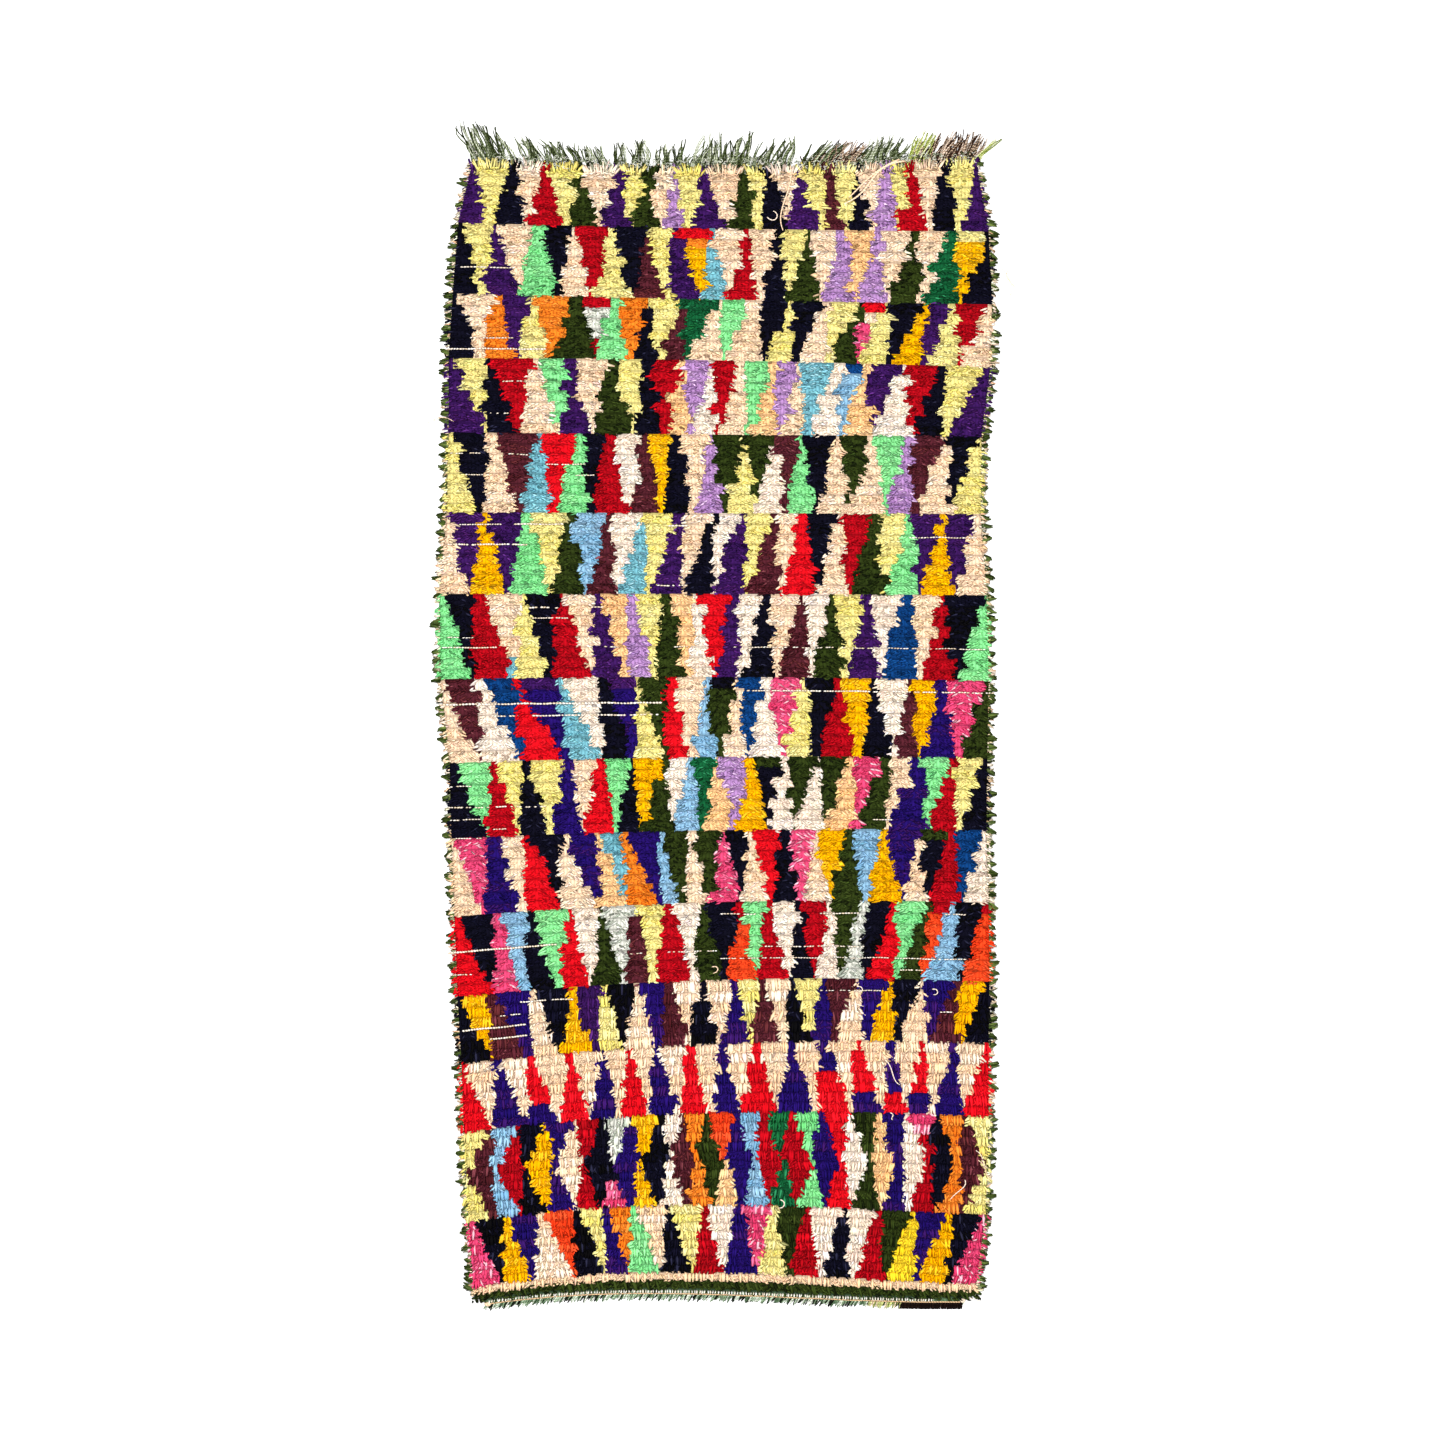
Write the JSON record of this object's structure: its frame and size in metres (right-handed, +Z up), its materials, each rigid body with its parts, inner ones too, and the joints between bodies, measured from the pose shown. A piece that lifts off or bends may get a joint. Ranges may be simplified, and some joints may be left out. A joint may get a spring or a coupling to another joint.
{
  "type": "boucherouite rug",
  "caption": "Long shaggy rug of knotted rag yarn in bands of many-coloured wedges, laid flat, with a warp fringe along one short end and a corded woven heading along the other.",
  "frame": {"origin": "on the floor under the centre of the whole rug's bounding box", "axes": "+Y along the length towards the fringe, +X across the width, +Z up out of the pile"},
  "size_m": [1.2934, 2.6678, 0.0181],
  "materials": {
    "pile_yarn": "matte knotted rag and wool yarn in many colours",
    "warp_yarn": "matte twisted yarn, dark green with white",
    "heading_cord": "matte twisted cotton cord, tan"
  },
  "bodies": {
    "root": {"rug": "pile_yarn", "fringe": "warp_yarn", "heading_cord": "heading_cord"}
  },
  "joints": []
}
